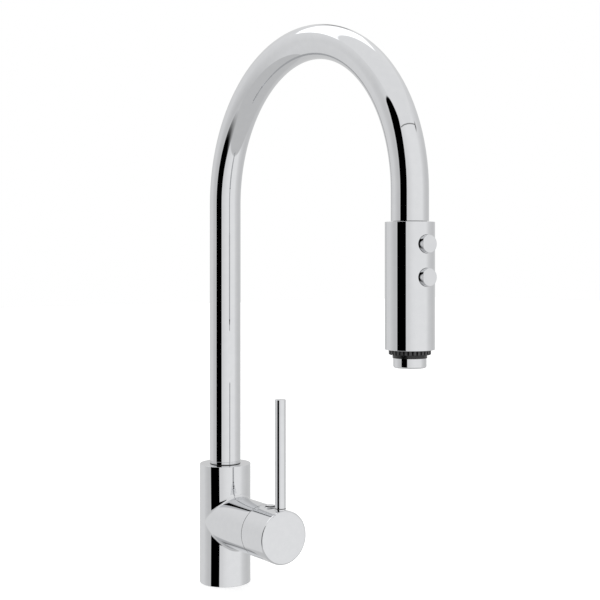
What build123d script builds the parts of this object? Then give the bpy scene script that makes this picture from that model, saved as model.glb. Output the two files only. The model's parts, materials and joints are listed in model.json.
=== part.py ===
from build123d import *
import math
import os

# Pull-down kitchen faucet, in millimetres.
# The origin is the centre of the body's underside, on the deck. +Z is up, and the spout and the
# handle point along -Y. A size called "reach" is a distance from the body's axis towards -Y.

# ---- clearances -------------------------------------------------------------------------------
slip = 0.05            # radial gap of pieces that are assembled and stay put
running = 0.05         # radial gap of a shaft that turns or slides in its bore
free_gap = 0.3         # gap between curved faces that move past each other
cut_extra = 1.0        # how far a cutter runs past the face it opens

# ---- body -------------------------------------------------------------------------------------
body_diameter = 49.4
body_height = 114.9
body_edge_round = 0.3
gasket_edge_wall = 2.9      # metal left outside the gasket's groove
gasket_width = 2.2
gasket_thickness = 1.5
stud_radius = 3.0
stud_hole_depth = 12.0
stud_angle = 45.0
thread_radius = 5.0
thread_depth = 10.0
drilling_radius = 3.5
port_radius = 2.5
port_edge_wall = 0.8        # from a port to the edge of the ceramic disc
inlet_port_drop = 2.0       # how far the inlet ports lie below the barrel's axis
outlet_port_drop = 9.0      # how far the mixed water port lies below it

# ---- handle barrel and its ball seat ------------------------------------------------------------
barrel_height = 61.2
barrel_diameter = 49.0
pivot_inset = 30.0          # how far the lever's pivot lies behind the barrel's rim
junction_round = 4.0        # the cast hollow between the barrel and the body
mouth_wall = 2.5
mouth_gap = 4.0             # from the nut to the mouth that the dome sits in
dome_wall = 1.2
dome_skirt_wall = 1.0
dome_opening_gap = 0.6      # round the stem as it swings

# ---- cartridge --------------------------------------------------------------------------------
seat_back_wall = 1.2        # metal between the outlet's drilling and the cartridge's seat
cartridge_radius = 17.5
cartridge_wall = 3.5
cartridge_front_wall = 3.0
cartridge_base_thickness = 3.5
seal_height = 0.8
seal_width = 1.2
disc_thickness = 3.0
disc_side_gap = 0.2
disc_slide_room = 2.3       # how much smaller the moving disc is, all round
moving_disc_port_radius = 6.0
slider_thickness = 4.2
rotor_end_gap = 0.1
rotor_length = 9.1
rotor_neck_radius = 10.9
rotor_neck_length = 5.0
stem_swing_gap = 0.4
nut_thread_step = 2.5       # how far the nut's thread stands outside the cartridge
nut_length = 8.0
nut_hex_radius = 15.4
pin_radius = 1.6
pin_depth = 4.8             # how deep the pin lies in the stem carrier
pin_end_gap = 1.0

# ---- handle -----------------------------------------------------------------------------------
handle_tilt_range = 22.0
seam_gap = 0.6
handle_length = 34.6
handle_wall = 2.5
handle_disc_thickness = 13.2
handle_edge_round = 1.7
stem_width = 8.0
stem_past_screw = 6.5
stem_hub_radius = 4.5
tail_tip_radius = 1.7
tail_width = 6.0
tail_thickness = 3.0
tail_backlash = 0.6
boss_radius = 9.0
screw_inset = 11.7          # from the barrel's rim to the clamping screw
screw_radius = 2.0
screw_length = 6.0
screw_column_wall = 2.2
plug_radius = 4.25
plug_boss_height = 0.8      # how far the boss that the plug sits on stands above the cap
plug_boss_taper = 40.0      # degrees that its flank leans in
plug_seal_thickness = 0.5
plug_seal_inset = 0.05
plug_neck_radius = 3.0
plug_head_height = 0.3
plug_dome_round = 0.25
plug_stem_length = 3.3
lever_diameter = 10.0
lever_inset = 6.5           # from the handle's round end to the lever's axis
lever_length = 100.8        # how far the lever stands above the cap
lever_seat_depth = 4.0
lever_stud_radius = 3.0
lever_stud_length = 9.0
lever_top_round = 0.8
lever_groove_rise = 1.3     # the fine groove round the lever's foot, above the cap
lever_groove_height = 0.4
lever_groove_depth = 0.5

# ---- spout ------------------------------------------------------------------------------------
spout_diameter = 30.0
spout_wall = 1.5
spout_arc_radius = 136.6
spout_arc_height = 367.8
spout_drop = 23.8           # the straight stretch after the arc
socket_depth = 30.0
journal_inset = 1.4         # how far each of these stands inside the spout's outline
thrust_washer_inset = 0.2
sleeve_collar_inset = 0.3
thrust_washer_thickness = 0.6
bush_wall = 0.8
bush_length = 8.0
sleeve_collar_height = 2.2
spout_foot_round = 0.4
sleeve_foot_gap = 1.5
sleeve_bore_radius = 8.0
sleeve_grip_length = 28.0
groove_rise = 3.5           # from the lower bush to the middle of the groove
groove_width = 6.0
groove_depth = 1.5
retaining_screw_radius = 2.5
retaining_screw_length = 8.4
friction_ring_rise = 2.5    # from the groove's edge to the middle of the ring
friction_ring_section = 1.3
dock_length = 17.5
dock_inset = 0.5
dock_bore_radius = 10.6

# ---- spray hose -------------------------------------------------------------------------------
hose_radius = 6.0
hose_wall = 1.8
hose_passage_clearance = 1.0
hose_foot_height = 2.0
hose_fitting_radius = 9.0
hose_fitting_height = 3.0
ferrule_length = 4.0
hose_spigot_radius = 6.95
hose_spigot_length = 8.0
hose_washer_thickness = 1.6
waterway_radius = 3.5

# ---- spray head -------------------------------------------------------------------------------
head_diameter = 39.3
head_length = 100.1
head_gap = 0.6              # between the spout's end and the head
head_wall = 2.0
head_top_wall = 2.5
head_edge_round = 0.3
neck_length = 9.6
core_inset = 8.7            # from the head's lower edge to the core
check_valve_radius = 5.2
check_valve_length = 8.6
check_valve_rim = 1.2
check_valve_stem_radius = 1.4
check_valve_spoke_width = 1.0
check_valve_spoke_height = 2.9
spray_ring_inset = 3.05
spray_ring_height = 3.5
spray_tooth_count = 30
spray_tooth_turn = 2.7      # degrees, from the first tooth to the side
spray_tooth_width = 2.1
spray_tooth_depth = 1.2
collar_step = 2.95          # how much smaller the collar is than the spray ring
collar_height = 3.0
collar_wall = 1.65
nozzle_step = 0.55
nozzle_height = 7.8
nozzle_edge_round = 1.6
nozzle_wall = 1.0
nozzle_lip_width = 0.8
nozzle_lip_height = 1.5
nozzle_thread_length = 11.0
aerator_thickness = 12.0
aerator_hole_radius = 0.7
aerator_ring_count = 3
aerator_holes_per_step = 6   # each ring has this many more than the one inside it
aerator_edge = 2.0          # from the lip to the outer ring of holes
aerator_washer_thickness = 2.0

# ---- buttons ----------------------------------------------------------------------------------
button_drops = {"upper": 17.4, "lower": 43.15}     # how far each lies below the head's top
button_radius = 7.15
button_proud = 3.95
button_length = 6.6
button_edge_round = 0.65
button_gap = 0.2
button_travel = 2.5
chamber_mouth_gap = 0.4
chamber_end_depth = 6.0
plunger_radius = 3.0
plunger_end_depth = 1.0
plunger_groove_reach = 8.0
plunger_groove_depth = 0.5
plunger_seal_section = 0.8
spring_wire_radius = 0.4
spring_link_radius = 0.3
spring_turns = 3

# ---- worked out: spout and body -----------------------------------------------------------------
spout_radius = spout_diameter / 2
spout_bore_radius = spout_radius - spout_wall
spout_reach = 2 * spout_arc_radius
spout_end_height = spout_arc_height - spout_drop
journal_radius = spout_radius - journal_inset
socket_radius = journal_radius + bush_wall
socket_floor = body_height - socket_depth
groove_height = socket_floor + bush_length + groove_rise
friction_ring_height = groove_height + groove_width / 2 + friction_ring_rise
friction_ring_radius = journal_radius + free_gap + friction_ring_section
collar_foot = body_height + thrust_washer_thickness
spout_foot = collar_foot + sleeve_collar_height
hose_passage_radius = hose_radius + hose_passage_clearance
body_radius = body_diameter / 2
gasket_inner_radius = body_radius - gasket_edge_wall - gasket_width
fixing_circle_radius = (hose_passage_radius + gasket_inner_radius) / 2

# ---- worked out: cartridge, barrel and handle ---------------------------------------------------
half_tilt = handle_tilt_range / 2
tilt_sine = math.sin(math.radians(half_tilt))
tilt_cosine = math.cos(math.radians(half_tilt))
stem_slope = tilt_sine / tilt_cosine
cartridge_seat_reach = fixing_circle_radius + drilling_radius + seat_back_wall
cartridge_bore_radius = cartridge_radius - cartridge_wall
fixed_disc_reach = cartridge_seat_reach + cartridge_base_thickness
fixed_disc_radius = cartridge_bore_radius - disc_side_gap
moving_disc_reach = fixed_disc_reach + disc_thickness
moving_disc_radius = fixed_disc_radius - disc_slide_room
inlet_port_side = fixed_disc_radius - port_radius - port_edge_wall
slider_reach = moving_disc_reach + disc_thickness
rotor_reach = slider_reach + slider_thickness + rotor_end_gap
rotor_front_reach = rotor_reach + rotor_length
rotor_radius = cartridge_bore_radius - running
housing_front_reach = rotor_front_reach + rotor_end_gap + cartridge_front_wall
nut_thread_radius = cartridge_radius + nut_thread_step
mouth_depth_reach = housing_front_reach + nut_length + mouth_gap
pivot_reach = rotor_reach + pin_depth
barrel_reach = pivot_reach + pivot_inset
barrel_radius = barrel_diameter / 2
mouth_radius = barrel_radius - mouth_wall
seat_radius = math.hypot(pivot_inset, barrel_radius)
seat_angle = math.degrees(math.atan2(barrel_radius, pivot_inset))
stem_swing = (rotor_length - pin_depth + rotor_neck_length) * stem_slope + stem_width / 2 / tilt_cosine
stem_swing_at_dome = seat_radius * tilt_sine + stem_width / 2 * tilt_cosine
dome_opening_radius = math.hypot(stem_width / 2, stem_swing_at_dome) + dome_opening_gap
tail_arm = pin_depth + slider_thickness / 2
crest = barrel_height + barrel_radius
handle_end_reach = barrel_reach + handle_length
screw_reach = barrel_reach + screw_inset
stem_length = (screw_reach - pivot_reach) / tilt_cosine + stem_past_screw
lever_reach = handle_end_reach - lever_inset
lever_top = crest + lever_length

# ---- worked out: spray head ---------------------------------------------------------------------
head_radius = head_diameter / 2
head_bore_radius = head_radius - head_wall
head_top = spout_end_height - head_gap
head_bottom = head_top - head_length
core_radius = head_bore_radius - slip
core_top = head_top - head_top_wall
core_bottom = head_bottom + core_inset
neck_radius = dock_bore_radius - free_gap
neck_top = head_top + neck_length
hose_draw_foot = neck_top + hose_fitting_height + ferrule_length
spray_ring_radius = head_radius - spray_ring_inset
collar_radius = spray_ring_radius - collar_step
collar_bore_radius = collar_radius - collar_wall
nozzle_radius = collar_radius - nozzle_step
nozzle_bore_radius = collar_bore_radius - nozzle_wall
nozzle_lip_radius = nozzle_bore_radius - nozzle_lip_width
button_heights = {name: head_top - drop for name, drop in button_drops.items()}
button_face_reach = head_radius + button_proud
button_back_reach = button_face_reach - button_length
button_hole_radius = button_radius + button_gap
chamber_mouth_radius = button_hole_radius + chamber_mouth_gap
chamber_radius = plunger_radius - plunger_groove_depth + 2 * plunger_seal_section + free_gap
spring_solid_length = 2 * spring_turns * spring_wire_radius + 2 * slip
chamber_floor_reach = button_back_reach - button_travel - spring_solid_length
spring_radius = chamber_radius + spring_wire_radius + 2 * slip

# ---- planes and places ----------------------------------------------------------------------------
pivot = (0, -pivot_reach, barrel_height)
barrel_axis = Axis((0, 0, barrel_height), (0, -1, 0))
barrel_plane = Plane(origin=(0, 0, barrel_height), x_dir=(1, 0, 0), z_dir=(0, -1, 0))
barrel_profile_plane = Plane(origin=(0, 0, barrel_height), x_dir=(0, -1, 0), z_dir=(1, 0, 0))
stem_direction = (0, -tilt_cosine, tilt_sine)
stem_plane = Plane(origin=pivot, x_dir=(1, 0, 0), z_dir=stem_direction)
pivot_cross_plane = Plane(origin=pivot, x_dir=(0, 1, 0), z_dir=(1, 0, 0))
slider_centre_height = barrel_height - tail_arm * tilt_sine
slider_plane = Plane(origin=(0, 0, slider_centre_height), x_dir=(1, 0, 0), z_dir=(0, -1, 0))
head_plane = Plane(origin=(0, -spout_reach, 0))
back_plane = Plane(origin=(0, 0, groove_height), x_dir=(1, 0, 0), z_dir=(0, 1, 0))
inlet_ports = ((-inlet_port_side, -inlet_port_drop), (inlet_port_side, -inlet_port_drop))
outlet_port = (0, -outlet_port_drop)


def fixing_place(angle):
    """A point of the circle that the inlets, the outlet and the studs share on the underside."""
    turn = math.radians(angle)
    return (fixing_circle_radius * math.cos(turn), fixing_circle_radius * math.sin(turn))


def button_plane(height):
    """The plane across a button's axis, through the head's axis, facing out."""
    return Plane(origin=(0, -spout_reach, height), x_dir=(1, 0, 0), z_dir=(0, -1, 0))


def disc(plane, low, high, radius, mode=Mode.ADD):
    """A cylinder in the open part, from low to high along the plane's normal."""
    with BuildSketch(plane.offset(low)) as profile:
        Circle(radius)
    extrude(profile.sketch, amount=high - low, mode=mode)


def ring(plane, low, high, outer_radius, inner_radius):
    """A plain ring in the open part, from low to high along the plane's normal."""
    with BuildSketch(plane.offset(low)) as profile:
        Circle(outer_radius)
        Circle(inner_radius, mode=Mode.SUBTRACT)
    extrude(profile.sketch, amount=high - low)


os.makedirs("parts", exist_ok=True)


def save(piece, name):
    """Label a finished piece and write its STEP file."""
    piece.part.label = name
    export_step(piece.part, f"parts/{name}.step")


# ==== body =======================================================================================

inlet_angle = {"hot": 180.0, "cold": 0.0}
outlet_angle = 270.0
inlet_top = barrel_height - inlet_port_drop + drilling_radius
outlet_top = barrel_height - outlet_port_drop + drilling_radius

with BuildPart() as body_casting:
    disc(Plane.XY, 0, body_height, body_radius)
    fillet(body_casting.edges().group_by(Axis.Z)[-1], body_edge_round)
    fillet(body_casting.edges().group_by(Axis.Z)[0], body_edge_round)
    with BuildSketch(barrel_profile_plane):
        with BuildLine():
            Polyline((pivot_reach + seat_radius, 0), (0, 0), (0, barrel_radius),
                     (barrel_reach, barrel_radius))
            CenterArc((pivot_reach, 0), seat_radius, 0, seat_angle)
        make_face()
    revolve(axis=barrel_axis)
    junction = [edge for edge in body_casting.edges() if edge.geom_type == GeomType.BSPLINE]
    fillet(junction, junction_round)
    # the cartridge's pocket, the nut's thread and the mouth that the dome sits in
    disc(barrel_plane, cartridge_seat_reach, mouth_depth_reach, cartridge_radius + slip, Mode.SUBTRACT)
    disc(barrel_plane, housing_front_reach - free_gap, mouth_depth_reach, nut_thread_radius, Mode.SUBTRACT)
    disc(barrel_plane, mouth_depth_reach, pivot_reach + seat_radius, mouth_radius, Mode.SUBTRACT)
    # the spout's socket and the hose's passage
    disc(Plane.XY, socket_floor, body_height, socket_radius, Mode.SUBTRACT)
    disc(Plane.XY, 0, socket_floor, hose_passage_radius, Mode.SUBTRACT)
    ring_pocket = friction_ring_section + slip
    disc(Plane.XY, friction_ring_height - ring_pocket, friction_ring_height + ring_pocket,
         friction_ring_radius + ring_pocket, Mode.SUBTRACT)
    # hot and cold water: up from the inlets, then forward to the cartridge
    for side in inlet_angle.values():
        with BuildSketch(Plane.XY):
            with Locations(fixing_place(side)):
                Circle(thread_radius)
        extrude(amount=thread_depth, mode=Mode.SUBTRACT)
        with BuildSketch(Plane.XY):
            with Locations(fixing_place(side)):
                Circle(drilling_radius)
        extrude(amount=inlet_top, mode=Mode.SUBTRACT)
    with BuildSketch(barrel_plane):
        with Locations(*inlet_ports):
            Circle(port_radius)
    extrude(amount=cartridge_seat_reach, mode=Mode.SUBTRACT)
    # mixed water: back from the cartridge, then down to its outlet
    with BuildSketch(Plane.XY):
        with Locations(fixing_place(outlet_angle)):
            Circle(thread_radius)
    extrude(amount=thread_depth, mode=Mode.SUBTRACT)
    with BuildSketch(Plane.XY):
        with Locations(fixing_place(outlet_angle)):
            Circle(drilling_radius)
    extrude(amount=outlet_top, mode=Mode.SUBTRACT)
    with BuildSketch(barrel_plane.offset(fixing_circle_radius)):
        with Locations(outlet_port):
            Circle(port_radius)
    extrude(amount=cartridge_seat_reach - fixing_circle_radius, mode=Mode.SUBTRACT)
    # holes for the two fixing studs
    with BuildSketch(Plane.XY):
        with Locations(fixing_place(stud_angle), fixing_place(stud_angle + 180)):
            Circle(stud_radius)
    extrude(amount=stud_hole_depth, mode=Mode.SUBTRACT)
    # the gasket's groove
    with BuildSketch(Plane.XY):
        Circle(gasket_inner_radius + gasket_width)
        Circle(gasket_inner_radius, mode=Mode.SUBTRACT)
    extrude(amount=gasket_thickness, mode=Mode.SUBTRACT)
    # the hole of the spout's retaining screw, in the back
    disc(back_plane, 0, body_radius + cut_extra, retaining_screw_radius, Mode.SUBTRACT)
save(body_casting, "body_casting")

with BuildPart() as base_gasket:
    ring(Plane.XY, 0, gasket_thickness, gasket_inner_radius + gasket_width - slip, gasket_inner_radius + slip)
save(base_gasket, "base_gasket")

bush_radius = socket_radius - slip
bush_bore_radius = journal_radius + running

with BuildPart() as swivel_bush_upper:
    ring(Plane.XY, body_height - bush_length, body_height, bush_radius, bush_bore_radius)
    ring(Plane.XY, body_height, collar_foot, spout_radius - thrust_washer_inset, bush_bore_radius)
save(swivel_bush_upper, "swivel_bush_upper")

with BuildPart() as swivel_bush_lower:
    ring(Plane.XY, socket_floor, socket_floor + bush_length, bush_radius, bush_bore_radius)
save(swivel_bush_lower, "swivel_bush_lower")

with BuildPart() as friction_ring:
    with Locations((0, 0, friction_ring_height)):
        Torus(friction_ring_radius, friction_ring_section)
save(friction_ring, "friction_ring")

screw_tip_radius = journal_radius - groove_depth + free_gap
screw_socket_depth = screw_length / 2

with BuildPart() as spout_grub_screw:
    screw_tail = screw_tip_radius + retaining_screw_length
    disc(back_plane, screw_tip_radius, screw_tail, retaining_screw_radius - slip)
    with BuildSketch(back_plane.offset(screw_tail - screw_socket_depth)):
        RegularPolygon(retaining_screw_radius / 2, 6)
    extrude(amount=screw_socket_depth, mode=Mode.SUBTRACT)
save(spout_grub_screw, "spout_grub_screw")

# ==== cartridge ==================================================================================

with BuildPart() as cartridge_base:
    disc(barrel_plane, cartridge_seat_reach, fixed_disc_reach, cartridge_radius)
    with BuildSketch(barrel_plane.offset(cartridge_seat_reach)):
        with Locations(*inlet_ports, outlet_port):
            Circle(port_radius)
    extrude(amount=cartridge_base_thickness, mode=Mode.SUBTRACT)
    with BuildSketch(barrel_plane.offset(cartridge_seat_reach)):
        with Locations(*inlet_ports, outlet_port):
            Circle(port_radius + seal_width)
    extrude(amount=seal_height, mode=Mode.SUBTRACT)
save(cartridge_base, "cartridge_base")

with BuildPart() as cartridge_seals:
    with BuildSketch(barrel_plane.offset(cartridge_seat_reach)):
        with Locations(*inlet_ports, outlet_port):
            Circle(port_radius + seal_width - slip)
            Circle(port_radius, mode=Mode.SUBTRACT)
    extrude(amount=seal_height)
save(cartridge_seals, "cartridge_seals")

with BuildPart() as cartridge_housing:
    ring(barrel_plane, fixed_disc_reach, housing_front_reach, cartridge_radius, cartridge_bore_radius)
    front_wall_reach = housing_front_reach - cartridge_front_wall
    ring(barrel_plane, front_wall_reach, housing_front_reach, cartridge_radius, rotor_neck_radius + running)
save(cartridge_housing, "cartridge_housing")

with BuildPart() as ceramic_disc_fixed:
    disc(barrel_plane, fixed_disc_reach, moving_disc_reach, fixed_disc_radius)
    with BuildSketch(barrel_plane.offset(fixed_disc_reach)):
        with Locations(*inlet_ports, outlet_port):
            Circle(port_radius - slip)
    extrude(amount=disc_thickness, mode=Mode.SUBTRACT)
save(ceramic_disc_fixed, "ceramic_disc_fixed")

with BuildPart() as ceramic_disc_moving:
    disc(slider_plane, moving_disc_reach, slider_reach, moving_disc_radius)
    disc(slider_plane, moving_disc_reach, moving_disc_reach + disc_thickness / 2, moving_disc_port_radius,
         Mode.SUBTRACT)
save(ceramic_disc_moving, "ceramic_disc_moving")

slot_width = tail_width + 2 * free_gap
slot_height = 2 * (tail_tip_radius + tail_backlash)

with BuildPart() as disc_slider:
    disc(slider_plane, slider_reach, slider_reach + slider_thickness, moving_disc_radius)
    with BuildSketch(slider_plane.offset(slider_reach)):
        Rectangle(slot_width, slot_height)
    extrude(amount=slider_thickness, mode=Mode.SUBTRACT)
save(disc_slider, "disc_slider")

with BuildPart() as stem_carrier:
    disc(barrel_plane, rotor_reach, rotor_front_reach, rotor_radius)
    disc(barrel_plane, rotor_front_reach, rotor_front_reach + rotor_neck_length, rotor_neck_radius)
    with BuildSketch(barrel_plane.offset(rotor_reach)):
        Rectangle(stem_width + 2 * running, 2 * (stem_swing + stem_swing_gap))
    extrude(amount=rotor_length + rotor_neck_length, mode=Mode.SUBTRACT)
    with BuildSketch(pivot_cross_plane):
        Circle(pin_radius + slip)
    extrude(amount=rotor_radius, both=True, mode=Mode.SUBTRACT)
save(stem_carrier, "stem_carrier")

with BuildPart() as stem_pin:
    with BuildSketch(pivot_cross_plane):
        Circle(pin_radius)
    extrude(amount=rotor_radius - pin_end_gap, both=True)
save(stem_pin, "stem_pin")

with BuildPart() as cartridge_nut:
    disc(barrel_plane, housing_front_reach, housing_front_reach + nut_length, nut_thread_radius - slip)
    with BuildSketch(barrel_plane.offset(housing_front_reach)):
        RegularPolygon(nut_hex_radius, 6)
    extrude(amount=nut_length, mode=Mode.SUBTRACT)
save(cartridge_nut, "cartridge_nut")


def seat_reach(radius, ball_radius):
    """How far out the ball about the pivot reaches at a radius from the barrel's axis."""
    return pivot_reach + math.sqrt(ball_radius ** 2 - radius ** 2)


dome_radius = mouth_radius - slip
dome_inner_ball = seat_radius - dome_wall
dome_bore_radius = dome_radius - dome_skirt_wall

with BuildPart() as dome_ring:
    with BuildSketch(barrel_profile_plane):
        with BuildLine():
            outer_low = (seat_reach(dome_radius, seat_radius), dome_radius)
            outer_high = (seat_reach(dome_opening_radius, seat_radius), dome_opening_radius)
            inner_high = (seat_reach(dome_opening_radius, dome_inner_ball), dome_opening_radius)
            inner_low = (seat_reach(dome_bore_radius, dome_inner_ball), dome_bore_radius)
            RadiusArc(outer_low, outer_high, -seat_radius)
            Line(outer_high, inner_high)
            RadiusArc(inner_high, inner_low, dome_inner_ball)
            Polyline(inner_low, (mouth_depth_reach, dome_bore_radius), (mouth_depth_reach, dome_radius),
                     outer_low)
        make_face()
    revolve(axis=barrel_axis)
save(dome_ring, "dome_ring")

# ==== handle =====================================================================================

handle_floor_reach = handle_end_reach - handle_disc_thickness
handle_bore_radius = barrel_radius - handle_wall
plug_foot = crest + plug_boss_height
plug_boss_length = plug_boss_height + handle_wall / 2
plug_boss_foot_radius = plug_radius + plug_boss_length * math.tan(math.radians(plug_boss_taper))
socket_end = stem_length + slip
lever_seat_height = crest - lever_seat_depth
deck_plane_at_screw = Plane(origin=(0, -screw_reach, 0))
deck_plane_at_lever = Plane(origin=(0, -lever_reach, 0))
stem_height_at_screw = barrel_height + (screw_reach - pivot_reach) * stem_slope
stem_crest_at_screw = stem_height_at_screw + stem_width / 2 / tilt_cosine
screw_foot = stem_crest_at_screw + screw_radius * stem_slope + 2 * slip
screw_top = screw_foot + screw_length

with BuildPart() as handle_cap:
    disc(barrel_plane, barrel_reach, handle_end_reach, barrel_radius)
    fillet(handle_cap.edges().group_by(Axis.Y)[0], handle_edge_round)
    disc(barrel_plane, barrel_reach, handle_floor_reach, handle_bore_radius, Mode.SUBTRACT)
    disc(stem_plane, 0, stem_length + screw_radius, boss_radius)
    disc(deck_plane_at_screw, stem_height_at_screw, crest - handle_wall / 2, screw_radius + screw_column_wall)
    with Locations((0, -screw_reach, plug_foot - plug_boss_length / 2)):
        Cone(plug_boss_foot_radius, plug_radius, plug_boss_length)
    with Locations(pivot):
        Sphere(seat_radius + seam_gap, mode=Mode.SUBTRACT)
    with BuildSketch(stem_plane):
        Rectangle(stem_width + 2 * slip, stem_width + 2 * slip)
    extrude(amount=socket_end, mode=Mode.SUBTRACT)
    disc(deck_plane_at_screw, stem_height_at_screw, plug_foot, screw_radius, Mode.SUBTRACT)
    disc(deck_plane_at_lever, lever_seat_height, crest, lever_diameter / 2 + slip, Mode.SUBTRACT)
    disc(deck_plane_at_lever, lever_seat_height - lever_stud_length - slip, crest, lever_stud_radius + slip,
         Mode.SUBTRACT)
save(handle_cap, "handle_cap")

with BuildPart() as lever_rod:
    disc(deck_plane_at_lever, lever_seat_height, lever_top, lever_diameter / 2)
    fillet(lever_rod.edges().group_by(Axis.Z)[-1], lever_top_round)
    disc(deck_plane_at_lever, lever_seat_height - lever_stud_length, lever_seat_height, lever_stud_radius)
    lever_groove = crest + lever_groove_rise
    with BuildSketch(Plane.XY.offset(lever_groove)):
        with Locations((0, -lever_reach)):
            Circle(lever_diameter / 2 + cut_extra)
            Circle(lever_diameter / 2 - lever_groove_depth, mode=Mode.SUBTRACT)
    extrude(amount=lever_groove_height, mode=Mode.SUBTRACT)
save(lever_rod, "lever_rod")

with BuildPart() as lever_stem:
    with BuildSketch(pivot_cross_plane):
        Circle(stem_hub_radius)
    extrude(amount=stem_width / 2, both=True)
    with BuildSketch(stem_plane):
        Rectangle(stem_width, stem_width)
    extrude(amount=stem_length)
    with BuildSketch(stem_plane):
        Rectangle(tail_width, tail_thickness)
    extrude(amount=-tail_arm)
    tail_tip = stem_plane.from_local_coords((0, 0, -tail_arm))
    with BuildSketch(Plane(origin=tail_tip, x_dir=(0, 1, 0), z_dir=(1, 0, 0))):
        Circle(tail_tip_radius)
    extrude(amount=tail_width / 2, both=True)
    with BuildSketch(pivot_cross_plane):
        Circle(pin_radius + running)
    extrude(amount=stem_width, both=True, mode=Mode.SUBTRACT)
save(lever_stem, "lever_stem")

with BuildPart() as handle_grub_screw:
    disc(deck_plane_at_screw, screw_foot, screw_top, screw_radius - slip)
    with BuildSketch(deck_plane_at_screw.offset(screw_top - screw_socket_depth)):
        RegularPolygon(screw_radius / 2, 6)
    extrude(amount=screw_socket_depth, mode=Mode.SUBTRACT)
save(handle_grub_screw, "handle_grub_screw")

plug_head = plug_foot + plug_seal_thickness

with BuildPart() as index_plug:
    disc(deck_plane_at_screw, plug_head, plug_head + plug_head_height, plug_radius)
    fillet(index_plug.edges().group_by(Axis.Z)[-1], plug_dome_round)
    disc(deck_plane_at_screw, plug_foot, plug_head, plug_neck_radius)
    disc(deck_plane_at_screw, plug_foot - plug_stem_length, plug_foot, screw_radius - slip)
save(index_plug, "index_plug")

with BuildPart() as index_plug_seal:
    ring(deck_plane_at_screw, plug_foot, plug_head, plug_radius - plug_seal_inset, plug_neck_radius + slip)
save(index_plug_seal, "index_plug_seal")

# ==== spout ======================================================================================


def arch(foot_height, end_height):
    """The centre line of the spout: up the body's axis, over the arc and down to end_height."""
    with BuildLine() as line:
        Line((0, 0, foot_height), (0, 0, spout_arc_height))
        ThreePointArc((0, 0, spout_arc_height), (0, -spout_arc_radius, spout_arc_height + spout_arc_radius),
                      (0, -spout_reach, spout_arc_height))
        if end_height < spout_arc_height:
            Line((0, -spout_reach, spout_arc_height), (0, -spout_reach, end_height))
    return line.wire()


with BuildPart() as spout_tube:
    with BuildSketch(Plane.XY.offset(spout_foot)):
        Circle(spout_radius)
        Circle(spout_bore_radius, mode=Mode.SUBTRACT)
    sweep(path=arch(spout_foot, spout_end_height))
    fillet(spout_tube.edges().group_by(Axis.Z)[0].sort_by(SortBy.RADIUS)[-1], spout_foot_round)
save(spout_tube, "spout_tube")

grip_radius = spout_bore_radius - slip

with BuildPart() as spout_sleeve:
    disc(Plane.XY, socket_floor + sleeve_foot_gap, collar_foot, journal_radius)
    disc(Plane.XY, collar_foot, spout_foot, spout_radius - sleeve_collar_inset)
    disc(Plane.XY, spout_foot, spout_foot + sleeve_grip_length, grip_radius)
    with BuildSketch(Plane.XY.offset(groove_height - groove_width / 2)):
        Circle(journal_radius + cut_extra)
        Circle(journal_radius - groove_depth, mode=Mode.SUBTRACT)
    extrude(amount=groove_width, mode=Mode.SUBTRACT)
    disc(Plane.XY, socket_floor, spout_foot + sleeve_grip_length, sleeve_bore_radius, Mode.SUBTRACT)
save(spout_sleeve, "spout_sleeve")

dock_foot = spout_end_height + dock_inset

with BuildPart() as dock_collar:
    ring(head_plane, dock_foot, dock_foot + dock_length, grip_radius, dock_bore_radius)
    chamfer(dock_collar.edges().group_by(Axis.Z)[0].sort_by(SortBy.RADIUS)[0], free_gap * 2)
save(dock_collar, "dock_collar")

with BuildPart() as spray_hose:
    with BuildSketch(Plane.XY.offset(hose_foot_height)):
        Circle(hose_radius)
        Circle(hose_radius - hose_wall, mode=Mode.SUBTRACT)
    sweep(path=arch(hose_foot_height, spout_arc_height))
save(spray_hose, "spray_hose")

with BuildPart() as hose_draw:
    ring(head_plane, hose_draw_foot, spout_arc_height, hose_radius, hose_radius - hose_wall)
save(hose_draw, "hose_draw")

# ==== hose end and spray head ====================================================================

ferrule_radius = hose_radius + hose_wall
spigot_foot = neck_top - hose_spigot_length
thread_floor = spigot_foot - hose_washer_thickness

with BuildPart() as hose_end_fitting:
    disc(head_plane, spigot_foot, neck_top, hose_spigot_radius)
    disc(head_plane, neck_top, neck_top + hose_fitting_height, hose_fitting_radius)
    disc(head_plane, neck_top + hose_fitting_height, hose_draw_foot, ferrule_radius)
    disc(head_plane, spigot_foot, hose_draw_foot, waterway_radius, Mode.SUBTRACT)
save(hose_end_fitting, "hose_end_fitting")

with BuildPart() as hose_washer:
    ring(head_plane, thread_floor, spigot_foot, hose_spigot_radius - slip, waterway_radius)
save(hose_washer, "hose_washer")

with BuildPart() as head_shell:
    disc(head_plane, head_bottom, head_top, head_radius)
    fillet(head_shell.edges().group_by(Axis.Z)[-1], head_edge_round)
    fillet(head_shell.edges().group_by(Axis.Z)[0], head_edge_round)
    disc(head_plane, head_bottom, core_top, head_bore_radius, Mode.SUBTRACT)
    disc(head_plane, core_top, head_top, neck_radius + slip, Mode.SUBTRACT)
    for height in button_heights.values():
        disc(button_plane(height), 0, head_radius + cut_extra, button_hole_radius, Mode.SUBTRACT)
save(head_shell, "head_shell")

check_valve_foot = thread_floor - check_valve_length

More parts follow.
